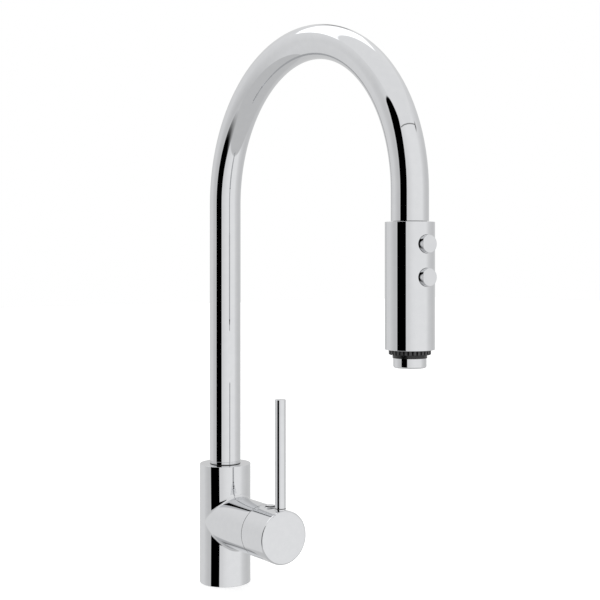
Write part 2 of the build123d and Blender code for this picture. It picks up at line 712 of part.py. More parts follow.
with BuildPart() as head_core:
    disc(head_plane, core_bottom, core_top, core_radius)
    disc(head_plane, core_top, neck_top, neck_radius)
    disc(head_plane, thread_floor, neck_top, hose_spigot_radius + running, Mode.SUBTRACT)
    disc(head_plane, check_valve_foot, thread_floor, check_valve_radius, Mode.SUBTRACT)
    disc(head_plane, core_bottom, check_valve_foot, waterway_radius, Mode.SUBTRACT)
    for height in button_heights.values():
        plane = button_plane(height)
        disc(plane, -chamber_end_depth, chamber_floor_reach, chamber_radius, Mode.SUBTRACT)
        disc(plane, chamber_floor_reach, core_radius + cut_extra, chamber_mouth_radius, Mode.SUBTRACT)
save(head_core, "head_core")

with BuildPart() as check_valve:
    ring(head_plane, check_valve_foot, thread_floor, check_valve_radius - slip,
         check_valve_radius - check_valve_rim)
    disc(head_plane, check_valve_foot, thread_floor, check_valve_stem_radius)
    with BuildSketch(head_plane.offset(check_valve_foot)):
        with PolarLocations(check_valve_radius / 2, 3):
            Rectangle(check_valve_radius - check_valve_rim / 2, check_valve_spoke_width)
    extrude(amount=check_valve_spoke_height)
save(check_valve, "check_valve")

ring_foot = head_bottom - spray_ring_height
collar_foot_height = ring_foot - collar_height
ring_bore_radius = collar_radius - 2 * slip
collar_top = core_bottom - aerator_washer_thickness

with BuildPart() as spray_ring:
    ring(head_plane, ring_foot, core_bottom, spray_ring_radius - spray_tooth_depth, ring_bore_radius)
    ring(head_plane, head_bottom, core_bottom, core_radius, ring_bore_radius)
    with BuildSketch(head_plane.offset(ring_foot)):
        with PolarLocations(spray_ring_radius - spray_tooth_depth, spray_tooth_count, spray_tooth_turn):
            Rectangle(2 * spray_tooth_depth, spray_tooth_width)
    extrude(amount=spray_ring_height)
save(spray_ring, "spray_ring")

with BuildPart() as aerator_collar:
    ring(head_plane, collar_foot_height, ring_foot, collar_radius, collar_bore_radius)
    ring(head_plane, ring_foot, collar_top, ring_bore_radius - slip, collar_bore_radius)
save(aerator_collar, "aerator_collar")

nozzle_bottom = collar_foot_height - nozzle_height
nozzle_floor = nozzle_bottom + nozzle_lip_height
nozzle_top = collar_foot_height + nozzle_thread_length

with BuildPart() as nozzle:
    disc(head_plane, nozzle_bottom, collar_foot_height, nozzle_radius)
    fillet(nozzle.edges().group_by(Axis.Z)[0], nozzle_edge_round)
    disc(head_plane, collar_foot_height, nozzle_top, collar_bore_radius - slip)
    disc(head_plane, nozzle_floor, nozzle_top, nozzle_bore_radius, Mode.SUBTRACT)
    disc(head_plane, nozzle_bottom, nozzle_floor, nozzle_lip_radius, Mode.SUBTRACT)
save(nozzle, "nozzle")

aerator_hole_pitch = (nozzle_lip_radius - aerator_edge) / aerator_ring_count

with BuildPart() as aerator_insert:
    disc(head_plane, nozzle_floor, nozzle_floor + aerator_thickness, nozzle_bore_radius - slip)
    with BuildSketch(head_plane.offset(nozzle_floor)):
        Circle(aerator_hole_radius)
        for ring_number in range(1, aerator_ring_count + 1):
            with PolarLocations(ring_number * aerator_hole_pitch, ring_number * aerator_holes_per_step):
                Circle(aerator_hole_radius)
    extrude(amount=aerator_thickness, mode=Mode.SUBTRACT)
save(aerator_insert, "aerator_insert")

with BuildPart() as aerator_washer:
    ring(head_plane, collar_top, core_bottom, ring_bore_radius - slip, waterway_radius)
save(aerator_washer, "aerator_washer")

# ==== buttons ====================================================================================


def make_button_set(name, height):
    """One push button with its plunger, the plunger's seal and the return spring."""
    plane = button_plane(height)

    with BuildPart() as button:
        disc(plane, button_back_reach, button_face_reach, button_radius)
        fillet(button.edges().group_by(Axis.Y)[0], button_edge_round)
    save(button, f"button_{name}")

    with BuildPart() as plunger:
        disc(plane, -plunger_end_depth, button_back_reach, plunger_radius)
        groove_low = plunger_groove_reach - plunger_seal_section
        with BuildSketch(plane.offset(groove_low)):
            Circle(plunger_radius + cut_extra)
            Circle(plunger_radius - plunger_groove_depth, mode=Mode.SUBTRACT)
        extrude(amount=2 * plunger_seal_section, mode=Mode.SUBTRACT)
    save(plunger, f"plunger_{name}")

    with BuildPart() as seal:
        with Locations(plane.offset(plunger_groove_reach)):
            Torus(plunger_radius - plunger_groove_depth + plunger_seal_section, plunger_seal_section)
    save(seal, f"plunger_seal_{name}")

    first_turn = chamber_floor_reach + spring_wire_radius
    last_turn = button_back_reach - spring_wire_radius
    pitch = (last_turn - first_turn) / (spring_turns - 1)
    with BuildPart() as spring:
        for turn in range(spring_turns):
            with Locations(plane.offset(first_turn + turn * pitch)):
                Torus(spring_radius, spring_wire_radius)
        for turn in range(spring_turns - 1):
            side = spring_radius if turn % 2 == 0 else -spring_radius
            with BuildSketch(plane.offset(first_turn + turn * pitch)):
                with Locations((side, 0)):
                    Circle(spring_link_radius)
            extrude(amount=pitch)
    save(spring, f"spring_{name}")


for button_name, button_height in button_heights.items():
    make_button_set(button_name, button_height)
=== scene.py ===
# %% [markdown]
# # A pull down kitchen faucet
# This lesson dresses a finished CAD model. The solids already have the right shapes
# and sizes, so they stay as they are, and what Blender adds is what a solid cannot
# have: polished chrome, moulded plastic, turned brass, a braided hose and a studio
# for the metal to mirror. The first step loads the imported model and frees each part
# from its parents without moving it. All sizes and places are in metres.

# %% Load the model
import json
import math

import bmesh
import bpy
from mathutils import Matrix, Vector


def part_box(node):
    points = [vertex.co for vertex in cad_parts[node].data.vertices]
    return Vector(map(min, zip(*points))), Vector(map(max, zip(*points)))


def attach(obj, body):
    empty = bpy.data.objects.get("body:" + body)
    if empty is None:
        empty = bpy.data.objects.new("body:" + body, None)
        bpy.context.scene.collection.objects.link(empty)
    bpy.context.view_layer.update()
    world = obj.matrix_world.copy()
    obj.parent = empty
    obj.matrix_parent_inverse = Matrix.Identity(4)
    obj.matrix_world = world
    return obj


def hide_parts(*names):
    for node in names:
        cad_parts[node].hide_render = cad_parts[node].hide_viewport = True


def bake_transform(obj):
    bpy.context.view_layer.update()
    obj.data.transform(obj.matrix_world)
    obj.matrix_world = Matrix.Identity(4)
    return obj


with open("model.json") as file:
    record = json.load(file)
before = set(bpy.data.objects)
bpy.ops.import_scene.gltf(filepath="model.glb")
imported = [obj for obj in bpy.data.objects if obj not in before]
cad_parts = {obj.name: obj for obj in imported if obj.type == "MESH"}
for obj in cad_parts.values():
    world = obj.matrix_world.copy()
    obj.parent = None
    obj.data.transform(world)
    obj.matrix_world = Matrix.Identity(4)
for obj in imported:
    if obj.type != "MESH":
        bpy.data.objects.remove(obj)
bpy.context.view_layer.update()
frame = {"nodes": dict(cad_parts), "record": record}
nodes = frame["nodes"]

# %% [markdown]
# # The camera
# A tall thin object is best seen from straight ahead, because a camera that looks
# down makes upright tubes lean together. So the camera stays level, at the height of
# the spray head, and the lens shift moves the view up or down instead, as an
# architect's camera does. It stands in front of the faucet and a little to the left,
# where the lever, the spray head and its buttons are all in view.

# %% Camera
HEADING = math.radians(35.68)
CAMERA_PLACE = (-0.5968, -0.9565, 0.3147)
LENS_LENGTH = 69.03
LENS_SHIFT = -0.0691
SENSOR_WIDTH = 36.0

camera_data = bpy.data.cameras.new("camera")
camera_data.lens = LENS_LENGTH
camera_data.sensor_width = SENSOR_WIDTH
camera_data.shift_y = LENS_SHIFT
camera = bpy.data.objects.new("camera", camera_data)
bpy.context.scene.collection.objects.link(camera)
camera.location = CAMERA_PLACE
camera.rotation_euler = (math.pi / 2, 0.0, -HEADING)
bpy.context.scene.camera = camera
bpy.context.scene.view_settings.view_transform = "Standard"
print("camera at", [round(v, 3) for v in camera.location])

# %% [markdown]
# # Shader maths as plain maths
# Node trees are easier to read when a formula looks like a formula. The class below
# wraps one output socket, and each operator adds the Math node that does the work.
# The reflected forms let a plain number come first, as in 1 - mask.

# %% A socket that works like a number
class Value:
    def __init__(self, tree, socket):
        self.tree = tree
        self.socket = socket

    def maths(self, operation, *operands):
        return self.tree.add("ShaderNodeMath", {"operation": operation}, dict(enumerate(operands)))

    def __add__(self, other):
        return self.maths("ADD", self, other)

    def __sub__(self, other):
        return self.maths("SUBTRACT", self, other)

    def __mul__(self, other):
        return self.maths("MULTIPLY", self, other)

    def __truediv__(self, other):
        return self.maths("DIVIDE", self, other)

    def __radd__(self, other):
        return self.maths("ADD", other, self)

    def __rsub__(self, other):
        return self.maths("SUBTRACT", other, self)

    def __rmul__(self, other):
        return self.maths("MULTIPLY", other, self)

    def __rtruediv__(self, other):
        return self.maths("DIVIDE", other, self)

    def __abs__(self):
        return self.maths("ABSOLUTE", self)


print("operators ready")

# %% [markdown]
# # One call for any node
# Every other kind of node comes from one method. Its settings come first, because
# they decide which sockets the node has, and then the numbers or links of its
# sockets. Three short methods on top of it are used so often that they have names of
# their own: a smooth step, the three axes of a place, and a blend of two colours.

# %% A node tree that adds any node in one call
class Tree:
    def __init__(self, node_tree):
        self.node_tree = node_tree
        node_tree.nodes.clear()

    def add(self, kind, settings=None, sockets=None, output=0):
        """A new node, filled in. It gives back the output that is asked for."""
        node = self.node_tree.nodes.new(kind)
        for name, setting in (settings or {}).items():
            if name == "stops":
                self.set_stops(node.color_ramp, setting)
            else:
                setattr(node, name, setting)
        for name, value in (sockets or {}).items():
            socket = self.find(node.inputs, name)
            if isinstance(value, Value):
                self.node_tree.links.new(value.socket, socket)
            else:
                socket.default_value = value
        return Value(self, self.find(node.outputs, output)) if node.outputs else node

    def find(self, sockets, name):
        """A socket by its name or its number, among those that the settings left on."""
        if isinstance(name, int):
            return [s for s in sockets if s.enabled][name]
        return next(s for s in sockets if s.enabled and s.name == name)

    def set_stops(self, ramp, stops):
        while len(ramp.elements) < len(stops):
            ramp.elements.new(1.0)
        for element, (position, colour) in zip(ramp.elements, stops):
            element.position = position
            element.color = colour

    def step(self, value, low, high):
        """0 at low, 1 at high, and a smooth rise between them. Low may be the larger."""
        return self.add("ShaderNodeMapRange", {"interpolation_type": "SMOOTHSTEP"},
                        {"Value": value, "From Min": low, "From Max": high})

    def axes(self, vector):
        """The three numbers that a vector is made of."""
        first = self.add("ShaderNodeSeparateXYZ", None, {"Vector": vector}, output="X")
        return [Value(self, socket) for socket in first.socket.node.outputs]

    def blend(self, factor, first, second):
        """A colour that goes from the first to the second."""
        return self.add("ShaderNodeMix", {"data_type": "RGBA"},
                        {"Factor": factor, "A": first, "B": second})


print("trees ready")

# %% [markdown]
# # The studio in the mirror
# Chrome has almost no colour of its own: it shows the room. A studio for chrome is
# built with care, from pale cards that make the metal look white and one black card,
# a flag, that draws the crisp dark line down each tube. The room could be made of
# big planes, but they would get in the way of a camera that walks round. Here it is
# painted on the world by direction instead, so that it is as far away as the sky. A
# direction has two angles: how far round from the camera, and how high.

# %% Directions in the studio
world = bpy.data.worlds.new("studio")
bpy.context.scene.world = world
world.use_nodes = True
studio = Tree(world.node_tree)
look = studio.add("ShaderNodeTexCoord", output="Generated")


def along(axis):
    """How much of a direction points along an axis."""
    return studio.add("ShaderNodeVectorMath", {"operation": "DOT_PRODUCT"},
                      {0: look, 1: axis}, output="Value")


def turn_from(degrees):
    """Degrees round from a card's middle, and the camera's right is positive."""
    facing = math.radians(degrees) - HEADING
    ahead = along((math.sin(facing), -math.cos(facing), 0.0))
    aside = along((math.cos(facing), math.sin(facing), 0.0))
    return aside.maths("ARCTAN2", aside, ahead) * math.degrees(1.0)


up = along((0.0, 0.0, 1.0))
rise = up.maths("ARCSINE", up) * math.degrees(1.0)
print("studio measured in degrees")

# %% [markdown]
# # Cards, a hanging line and an overhead box
# What hangs in the room is drawn as a mask: 1 where a ray meets it, 0 elsewhere, with
# a soft edge. A card is a patch of angles whose upper and lower edges can bow. A line
# droops at its ends, as a straight gap in a ceiling does when it is seen from below.
# The box is measured on a flat ceiling, so that it gets smaller with distance in the
# chrome as a real light box does.

# %% Masks for the studio
def card(middle, half_width, bottom, top, bow, soft, fade=None, lean=0.0):
    """A patch. Bow draws its ends in, lean shifts the bow, and fade softens its foot."""
    turn = turn_from(middle)
    off_crown = turn - lean
    drawn_in = off_crown * off_crown * (bow / half_width ** 2)
    beside = studio.step(abs(turn), half_width + soft, half_width - soft)
    under = studio.step(rise + drawn_in, top + soft, top - soft)
    over = studio.step(rise - drawn_in, bottom - (fade or soft), bottom + soft)
    return beside * under * over


def hanging_line(middle, half_width, height, droop, half_thick, soft):
    """A thin line at its full height in the middle, which droops at its ends."""
    turn = turn_from(middle)
    level = rise + turn * turn * (droop / half_width ** 2)
    beside = studio.step(abs(turn), half_width + soft, half_width - soft)
    return beside * studio.step(abs(level - height), half_thick + soft, half_thick - soft)


def between_edges(value, low, high, soft):
    return studio.step(value, low - soft, low + soft) * studio.step(value, high + soft, high - soft)


def overhead(near, far, left, right, skew, soft):
    """A flat box on the ceiling. Its edges are in ceiling heights, behind and to the right."""
    aside = along((math.cos(HEADING), -math.sin(HEADING), 0.0)) / up
    away = along((math.sin(HEADING), math.cos(HEADING), 0.0)) / up - aside * skew
    box = between_edges(aside, left, right, soft) * between_edges(away, near, far, soft)
    return box * studio.step(up, 0.0, 0.1)


print("masks ready")

# %% [markdown]
# # Walls, ceiling, light box and flags
# The levels are shares of plain white. The wall on the camera's right is the
# brightest, the one behind the camera a little less so, and the left and the far side
# are greyer, which gives a tube its slow shading. All walls get paler towards the
# ceiling. The light box hangs high behind the faucet, the black flag stands on the
# camera's left, and the gap and the two small flags leave fine grey marks on the arch
# of the spout. A ray from the camera sees plain white, and only the rays that the
# faucet sends out see the room.

# %% Paint the studio
FLOOR_LINE = -35.0
CEILING_LINE = 42.0
LINE_SOFT = 1.0
WALL_FADE_LOW = 5.0
WALL_FADE_HIGH = 45.0
WALL_FADE_SHARE = 0.6


def grey(level):
    return (level, level, level, 1.0)


# Degrees round from the middle of the wall behind the camera, and the level there.
wall_levels = [(-180, 0.70), (-150, 0.72), (-138, 0.82), (-110, 0.85), (-88, 0.715), (-76, 0.66),
               (-64, 0.70), (-22, 0.83), (-10, 0.86), (0, 0.93), (12, 0.98), (24, 1.0),
               (72, 1.0), (80, 0.93), (90, 0.82), (104, 0.75), (120, 0.70), (180, 0.70)]
wall_stops = [(degrees / 360 + 0.5, grey(level)) for degrees, level in wall_levels]
walls = studio.add("ShaderNodeValToRGB", {"stops": wall_stops}, {0: turn_from(0.0) / 360 + 0.5})
paler = studio.step(rise, WALL_FADE_LOW, WALL_FADE_HIGH) * WALL_FADE_SHARE
walls = studio.blend(paler, walls, grey(1.0))

room_floor = studio.step(rise, FLOOR_LINE + LINE_SOFT, FLOOR_LINE - LINE_SOFT)
ceiling = studio.step(rise, CEILING_LINE - LINE_SOFT, CEILING_LINE + LINE_SOFT)
ceiling_gap = hanging_line(middle=36.0, half_width=56.0, height=41.8, droop=8.4,
                           half_thick=0.35, soft=0.3)
light_box = overhead(near=0.353, far=1.06, left=-1.13, right=0.28, skew=0.12, soft=0.03)
side_flag = card(middle=89.0, half_width=5.0, bottom=31.5, top=35.0, bow=0.0, soft=1.0)
far_flag = card(middle=178.0, half_width=5.0, bottom=27.0, top=36.0, bow=0.0, soft=2.0)
black_flag = card(middle=-44.2, half_width=21.0, bottom=-25.5, top=41.5, bow=8.0,
                  soft=0.8, fade=19.5, lean=6.2)
camera_ray = studio.add("ShaderNodeLightPath", output="Is Camera Ray")

room = walls
for mask, level in ((room_floor, 0.65), (ceiling, 0.95), (ceiling_gap, 0.25), (light_box, 1.7),
                    (side_flag, 0.2), (far_flag, 0.25), (black_flag, 0.0), (camera_ray, 1.0)):
    room = studio.blend(mask, room, grey(level))
background = studio.add("ShaderNodeBackground", None, {"Color": room, "Strength": 1.0})
studio.add("ShaderNodeOutputWorld", None, {"Surface": background})
print("world nodes:", len(world.node_tree.nodes))

# %% [markdown]
# # Two helpers for what is added
# Blender keeps a shape in a mesh, a mesh in an object, and a finish in a material
# with a node tree. Both need the same few lines each time, so they are written once:
# the first helper takes a function that draws the shape, and the second empties a new
# material's tree and wraps it.

# %% Helpers for meshes and materials
def new_mesh_object(name, build):
    mesh = bpy.data.meshes.new(name)
    shape = bmesh.new()
    build(shape)
    shape.to_mesh(mesh)
    shape.free()
    piece = bpy.data.objects.new(name, mesh)
    bpy.context.scene.collection.objects.link(piece)
    return piece


def new_material(name):
    material = bpy.data.materials.new(name)
    material.use_nodes = True
    return material, Tree(material.node_tree)


print("helpers ready")

# %% [markdown]
# # The floor
# The floor is one pale sheet of matt laminate, a hair below the faucet's foot. It is
# lit by the room, so it darkens a little where the faucet stands in the light's way.
# A share of plain white is added for the rays that come from the camera, and a trace
# of it for those from glass, so that the open floor is as white as the backdrop and
# the shadow is still there. The sheet is hidden from the chrome, which mirrors the
# floor that is painted in the studio.

# %% Floor
FLOOR_HALF = 6.0
FLOOR_GAP = 0.0003
CAMERA_LIFT = 0.60
MIRROR_LIFT = 0.02


def floor_sheet(shape):
    corners = ((-1, -1), (1, -1), (1, 1), (-1, 1))
    places = [(x * FLOOR_HALF, y * FLOOR_HALF, -FLOOR_GAP) for x, y in corners]
    shape.faces.new([shape.verts.new(place) for place in places])


floor = new_mesh_object("floor", floor_sheet)
floor.visible_glossy = False

laminate, tree = new_material("pale_laminate")
camera_ray, glossy_ray, transmission_ray = [
    tree.add("ShaderNodeLightPath", output=name)
    for name in ("Is Camera Ray", "Is Glossy Ray", "Is Transmission Ray")]
grain = tree.add("ShaderNodeTexNoise", None, {"Scale": 900.0, "Detail": 3.0})
sheet = tree.add("ShaderNodeBsdfPrincipled", None,
                 {"Base Color": tree.blend(grain, grey(0.63), grey(0.65)),
                  "Roughness": 0.6, "Specular IOR Level": 0.2})
lift = camera_ray * CAMERA_LIFT + (glossy_ray + transmission_ray) * MIRROR_LIFT
glow = tree.add("ShaderNodeEmission", None, {"Color": grey(1.0), "Strength": lift})
lit_sheet = tree.add("ShaderNodeAddShader", None, {0: sheet, 1: glow})
tree.add("ShaderNodeOutputMaterial", None, {"Surface": lit_sheet})
floor.data.materials.append(laminate)
print("floor laid")

# %% [markdown]
# # Finishes
# Each finish is one material, shared by every part that the factory makes in it. The
# patterns come from noise and waves that are measured in metres on the part, so they
# keep their real size on a thin lever and on a wide body alike, and ride along when
# the part moves. The helpers below start a finish, make its patterns, and put its
# shader together with a shallow bump.

# %% Helpers for finishes
materials = {}


def start_finish(name):
    """A new finish under its name, with its tree and the places on its part."""
    materials[name], tree = new_material(name)
    return tree, tree.add("ShaderNodeTexCoord", output="Object")


def stretched(tree, place, scale):
    return tree.add("ShaderNodeMapping", None, {"Vector": place, "Scale": scale})


def noise(tree, place, size, detail=2.0, roughness=0.5):
    """Noise whose patches are about as wide as size."""
    return tree.add("ShaderNodeTexNoise", None, {"Vector": place, "Scale": 1.0 / size,
                                                 "Detail": detail, "Roughness": roughness})


def put_together(tree, sockets, bump, depth):
    normal = tree.add("ShaderNodeBump", None, {"Height": bump, "Strength": 1.0, "Distance": depth})
    shader = tree.add("ShaderNodeBsdfPrincipled", None, {**sockets, "Normal": normal})
    tree.add("ShaderNodeOutputMaterial", None, {"Surface": shader})


print("finishes can be mixed")

# %% [markdown]
# # Places that stay dark
# Light hardly reaches the bottom of a seam or a fine groove, but a mirror finish
# would shine down there all the same, so shade is painted on three places of the
# chrome as a dark, matt colour: the seam between the barrel and the cap, the groove
# round the lever's foot and the seat under the plug. The chromed dome under the cap
# has one more painted shade, a narrow rim at its edge. Where they lie is measured
# from the parts' own boxes, and how wide they are and how softly they fade is named here.

# %% Places that stay dark
SEAM_EDGE = 0.00003
SEAM_SOFTNESS = 3 * SEAM_EDGE
EDGE_FADE = 0.001
CAP_END_WALL = 0.011
GROOVE_RISE = 0.00115
GROOVE_HEIGHT = 0.00075
GROOVE_REACH = 4 * SEAM_EDGE
PLUG_SHADE_RISE = 0.0001
PLUG_SHADE_DROP = 0.0006
DOME_SHADE = 0.0004

cap_low, cap_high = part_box("handle_cap")
dome_low, dome_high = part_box("dome_ring")
lever_low, lever_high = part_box("lever_rod")
seal_low, seal_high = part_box("index_plug_seal")
barrel_radius = cap_high[0]
barrel_height = (dome_low[2] + dome_high[2]) / 2
lever_y = (lever_low[1] + lever_high[1]) / 2
plug_y = (seal_low[1] + seal_high[1]) / 2
groove_foot = barrel_height + barrel_radius + GROOVE_RISE
print("barrel radius in mm:", round(barrel_radius * 1000, 2))

# %% [markdown]
# # Masks for the dark places
# Each place is a mask again, this time made from where a point lies on its part. All
# of them are round, so a distance from an axis and a stretch along it are enough: a
# seam is what lies within the barrel's radius, a groove is what lies near the lever
# at one height, and so on.

# %% Masks for the dark places
def distance(one, other):
    square = one * one + other * other
    return square.maths("SQRT", square)


def within(tree, value, limit, edge):
    """1 well below the limit and 0 above it."""
    return tree.step(value, limit, limit - edge)


def between(tree, value, low, high, edge=SEAM_EDGE):
    """1 between low and high, with a soft edge just inside each."""
    return tree.step(value, low, low + edge) * within(tree, value, high, edge)


def shaded_joints(tree, place):
    """Painted shade: 1 inside the seam of the cap, in the lever's groove and under the plug."""
    across, outward, height = tree.axes(place)
    from_axis = distance(across, height - barrel_height)
    from_lever = distance(across, outward - lever_y)
    from_plug = distance(across, outward - plug_y)
    seam = within(tree, from_axis, barrel_radius - SEAM_EDGE, SEAM_SOFTNESS)
    seam = seam * between(tree, outward, cap_low[1] + CAP_END_WALL, dome_high[1], EDGE_FADE)
    groove = within(tree, from_lever, lever_high[0] + GROOVE_REACH, SEAM_SOFTNESS)
    groove = groove * between(tree, height, groove_foot, groove_foot + GROOVE_HEIGHT)
    seat = within(tree, from_plug, seal_high[0] + EDGE_FADE, EDGE_FADE / 2)
    seat = seat * between(tree, height, seal_low[2] - PLUG_SHADE_DROP,
                          seal_high[2] + PLUG_SHADE_RISE)
    return seam + groove + seat


def shaded_rim(tree, place):
    """Painted shade: 1 on the edge of the dome, which the barrel's mouth shades."""
    across, _, height = tree.axes(place)
    from_axis = distance(across, height - barrel_height)
    return 1 - within(tree, from_axis, dome_high[0] - DOME_SHADE, DOME_SHADE / 2)


print("dark places ready")

# %% [markdown]
# # Polished chrome
# Chrome plate is a few thousandths of a millimetre thick and shows whatever lies under
# it. The brass below was ground and buffed, which leaves a mirror with very faint,
# wide waves and an even fainter haze of buffing marks. A mirror that is perfectly flat
# looks computed, so a shallow bump bends the reflections a little, and the haze varies
# the roughness. The metal's own tint is a cool light grey. One function mixes it for
# both sets of painted shade, where the chrome turns into a dark, matt colour.

# %% Polished chrome
CHROME_DEEP = (0.700, 0.708, 0.723, 1.0)
CHROME_PALE = (0.716, 0.723, 0.737, 1.0)
# Painted shade: the dark, matt colour that stands in for the shade in seams and grooves.
SEAM_PAINTED_SHADE = (0.045, 0.042, 0.038, 1.0)
SEAM_ROUGHNESS = 0.55


def mix_chrome(name, shaded):
    tree, place = start_finish(name)
    waves = noise(tree, place, size=0.030, detail=1.0)
    haze = noise(tree, place, size=0.006, detail=3.0)
    buffing = noise(tree, stretched(tree, place, (1.0, 1.0, 0.06)), size=0.0004)
    tint = tree.blend(tree.step(haze, 0.35, 0.7), CHROME_DEEP, CHROME_PALE)
    mirror = 0.008 + haze * 0.010 + buffing * 0.004
    # The mask paints shade: where it is 1 the chrome turns into a dark, matt colour.
    dark = shaded(tree, place)
    put_together(tree, {"Base Color": tree.blend(dark, tint, SEAM_PAINTED_SHADE),
                        "Roughness": mirror * (1 - dark) + dark * SEAM_ROUGHNESS,
                        "Metallic": 1 - dark}, bump=waves, depth=0.00001)


mix_chrome("polished_chrome", shaded_joints)
mix_chrome("dome_chrome", shaded_rim)
print("chrome mixed")

# %% [markdown]
# # Moulded black plastic
# The spray ring, its collar and the parts inside are glass filled nylon, which comes
# out of the mould with a fine spark eroded texture: tiny pits, a little smoother on
# the high spots. The colour is not quite black, and slightly uneven. On the spray
# ring the tips of the teeth get a painted highlight, a paler colour where their edges
# would catch the light, and the gaps between them stay matt.

# %% Moulded black plastic
TOOTH_DEPTH = 0.0012
TOOTH_FADE = 0.0002
RING_INSET = 0.00305
PLASTIC_DEEP = (0.005, 0.005, 0.0055, 1.0)
PLASTIC_PALE = (0.009, 0.009, 0.0095, 1.0)
# Painted highlight on the tips of the teeth.
TIP_PAINTED_HIGHLIGHT = (0.060, 0.060, 0.062, 1.0)

ring_low, ring_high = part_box("spray_ring")
head_y = (ring_low[1] + ring_high[1]) / 2
head_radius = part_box("head_shell")[1][0]
tooth_middle = head_radius - RING_INSET - TOOTH_DEPTH / 2

tree, place = start_finish("black_plastic")
pits = noise(tree, place, size=0.00035, detail=4.0, roughness=0.6)
across, outward, height = tree.axes(place)
from_head = distance(across, outward - head_y)
on_ring = tree.step(height, ring_low[2] - EDGE_FADE / 10, ring_low[2])
on_ring = on_ring * within(tree, from_head, head_radius, TOOTH_FADE)
# The tips of the teeth, where the highlight is painted.
tips = on_ring * tree.step(from_head, tooth_middle, tooth_middle + TOOTH_FADE)
gaps = on_ring * within(tree, from_head, tooth_middle, TOOTH_FADE)
tint = tree.blend(noise(tree, place, size=0.004), PLASTIC_DEEP, PLASTIC_PALE)
put_together(tree, {"Base Color": tree.blend(tips, tint, TIP_PAINTED_HIGHLIGHT),
                    "Roughness": 0.18 + pits * 0.14 + tips * 0.15 + gaps * 0.65},
             bump=pits, depth=0.00002)
print("black plastic mixed")

# %% [markdown]
# # Nitrile rubber
# Gaskets and seals are nitrile rubber. It is matt, and a dusty bloom comes out on it
# in patches, which the colour and the roughness share. A fine grain from the mould
# goes into the bump.

# %% Rubber
RUBBER_CLEAN = (0.017, 0.017, 0.018, 1.0)
RUBBER_BLOOM = (0.040, 0.040, 0.041, 1.0)

tree, place = start_finish("black_rubber")
bloom = noise(tree, place, size=0.003, detail=4.0)
grain = noise(tree, place, size=0.0003, detail=3.0)
tint = tree.blend(tree.step(bloom, 0.45, 0.75), RUBBER_CLEAN, RUBBER_BLOOM)
put_together(tree, {"Base Color": tint, "Roughness": 0.62 + bloom * 0.25},
             bump=grain, depth=0.00003)
print("rubber mixed")

# %% [markdown]
# # Milky white acetal
# The cartridge's body, the small valves and the aerator are acetal, a milky white
# plastic with a slight gloss and a trace of flow lines along the part. A little light
# goes into it and comes out again close by, which the subsurface weight gives.

# %% Milky white acetal
ACETAL_DEEP = (0.70, 0.70, 0.68, 1.0)
ACETAL_PALE = (0.79, 0.79, 0.77, 1.0)

tree, place = start_finish("white_plastic")
flow = noise(tree, stretched(tree, place, (1.0, 1.0, 0.25)), size=0.005, detail=3.0)
put_together(tree, {"Base Color": tree.blend(flow, ACETAL_DEEP, ACETAL_PALE),
                    "Roughness": 0.30 + flow * 0.12, "Subsurface Weight": 0.1,
                    "Subsurface Radius": (0.002, 0.002, 0.0018)}, bump=flow, depth=0.00003)
print("acetal mixed")

# %% [markdown]
# # Turned brass
# Brass fittings are left as the lathe made them, with rings a fraction of a millimetre
# apart, and the metal stains in patches. Bands of a wave stacked upright give the
# rings, and a little distortion keeps them from looking ruled.

# %% Turned brass
BRASS_BRIGHT = (0.74, 0.57, 0.30, 1.0)
BRASS_STAINED = (0.60, 0.44, 0.22, 1.0)

tree, place = start_finish("brass_inside")
rings = tree.add("ShaderNodeTexWave", {"wave_type": "BANDS", "bands_direction": "Z"},
                 {"Vector": place, "Scale": 900.0, "Distortion": 1.5, "Detail": 2.0}, output="Fac")
stain = noise(tree, place, size=0.005, detail=4.0)
tint = tree.blend(tree.step(stain, 0.3, 0.8), BRASS_BRIGHT, BRASS_STAINED)
put_together(tree, {"Base Color": tint, "Roughness": 0.22 + rings * 0.12 + stain * 0.1,
                    "Metallic": 1.0}, bump=rings, depth=0.00002)
print("brass mixed")

# %% [markdown]
# # Plain steel
# Screws, pins and springs are plain steel, drawn through a die, which leaves long
# fine scratches. Noise that is stretched along the part gives them.

# %% Plain steel
STEEL_DEEP = (0.53, 0.53, 0.54, 1.0)
STEEL_PALE = (0.66, 0.66, 0.67, 1.0)

tree, place = start_finish("steel")
drawn = noise(tree, stretched(tree, place, (1.0, 1.0, 0.05)), size=0.0003, detail=3.0)
put_together(tree, {"Base Color": tree.blend(drawn, STEEL_DEEP, STEEL_PALE),
                    "Roughness": 0.2 + drawn * 0.15, "Metallic": 1.0}, bump=drawn, depth=0.00002)
print("steel mixed")

# %% [markdown]
# # Lapped alumina
# The two ceramic discs are lapped so flat that they seal by themselves, and look like
# dull ivory. Lapping has no direction, so plain noise with much detail is enough.

# %% Lapped alumina
ALUMINA_DEEP = (0.83, 0.82, 0.78, 1.0)
ALUMINA_PALE = (0.90, 0.89, 0.86, 1.0)

tree, place = start_finish("alumina")
lapping = noise(tree, place, size=0.0006, detail=5.0, roughness=0.7)
put_together(tree, {"Base Color": tree.blend(lapping, ALUMINA_DEEP, ALUMINA_PALE),
                    "Roughness": 0.25 + lapping * 0.2}, bump=lapping, depth=0.00001)
print("alumina mixed")

# %% [markdown]
# # Hose nylon
# The hose that lies inside the body and the spout is braided from nylon yarn. It is
# never seen from near by, so a fuzzy noise and a little sheen stand for the yarn. The
# length that comes out gets a real weave in the next step.

# %% Hose nylon
NYLON_DEEP = (0.05, 0.05, 0.053, 1.0)
NYLON_PALE = (0.11, 0.11, 0.115, 1.0)

tree, place = start_finish("hose_nylon")
yarn = noise(tree, place, size=0.0008, detail=3.0)
put_together(tree, {"Base Color": tree.blend(yarn, NYLON_DEEP, NYLON_PALE),
                    "Roughness": 0.5 + yarn * 0.2, "Sheen Weight": 0.2}, bump=yarn, depth=0.0001)
print("finishes:", sorted(materials))
